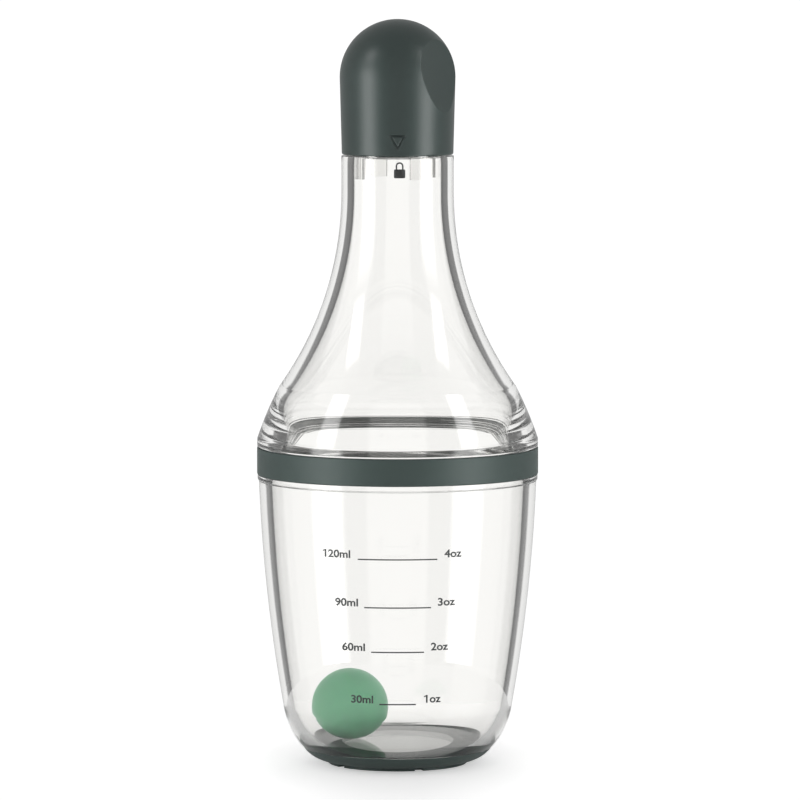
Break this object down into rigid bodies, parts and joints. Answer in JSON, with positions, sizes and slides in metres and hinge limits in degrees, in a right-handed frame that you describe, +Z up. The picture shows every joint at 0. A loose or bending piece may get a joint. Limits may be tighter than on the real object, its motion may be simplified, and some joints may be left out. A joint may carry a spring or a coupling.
{
  "type": "salad dressing shaker bottle",
  "caption": "Clear dressing shaker bottle: measuring cup with a loose mixing ball, screw-on funnel top with pouring spout, seal band and twist-lock domed cap.",
  "frame": {"origin": "centre of the foot, on the table", "axes": "+Z up along the bottle's axis, -Y is the front with the measuring scale, +X is the right-hand side seen from the front"},
  "size_m": [0.0702, 0.0702, 0.186],
  "materials": {
    "clear_plastic": "clear, polished",
    "dark_silicone": "matte grey-green silicone",
    "pale_silicone": "matte milky silicone",
    "cap_plastic": "fine matte grey-green",
    "ball_silicone": "matte, slightly translucent green"
  },
  "bodies": {
    "cup": {"cup": "clear_plastic", "foot_ring": "dark_silicone"},
    "band": {"seal_band": "dark_silicone"},
    "upper": {"funnel": "clear_plastic", "pour_spout": "clear_plastic"},
    "seal": {"cap_seal": "pale_silicone"},
    "cap": {"cap_shell": "cap_plastic", "cap_liner": "cap_plastic"},
    "ball": {"mixing_ball": "ball_silicone"}
  },
  "joints": [
    {"name": "funnel_lift", "type": "slide", "parent": "cup", "child": "band", "axis": [0, 0, 1], "range_m": [0, 0.0052]},
    {"name": "funnel_unscrew", "type": "hinge", "parent": "band", "child": "upper", "pos_m": [0, 0, 0.07945], "axis": [0, 0, 1], "range_deg": [0, 720]},
    {"name": "cap_lift", "type": "slide", "parent": "upper", "child": "seal", "axis": [0, 0, 1], "range_m": [0, 0.003]},
    {"name": "cap_twist", "type": "hinge", "parent": "seal", "child": "cap", "pos_m": [0, 0, 0.1528], "axis": [0, 0, 1], "range_deg": [0, 90]},
    {"name": "ball_toss", "type": "slide", "parent": "cup", "child": "ball", "axis": [0.1384, 0.0174, 0.9902], "range_m": [0, 0.08]}
  ],
  "couplings": [
    {"joint": "funnel_lift", "follows": "funnel_unscrew", "m_per_rad": 0.0004138},
    {"joint": "cap_lift", "follows": "cap_twist", "m_per_rad": 0.0019098}
  ]
}
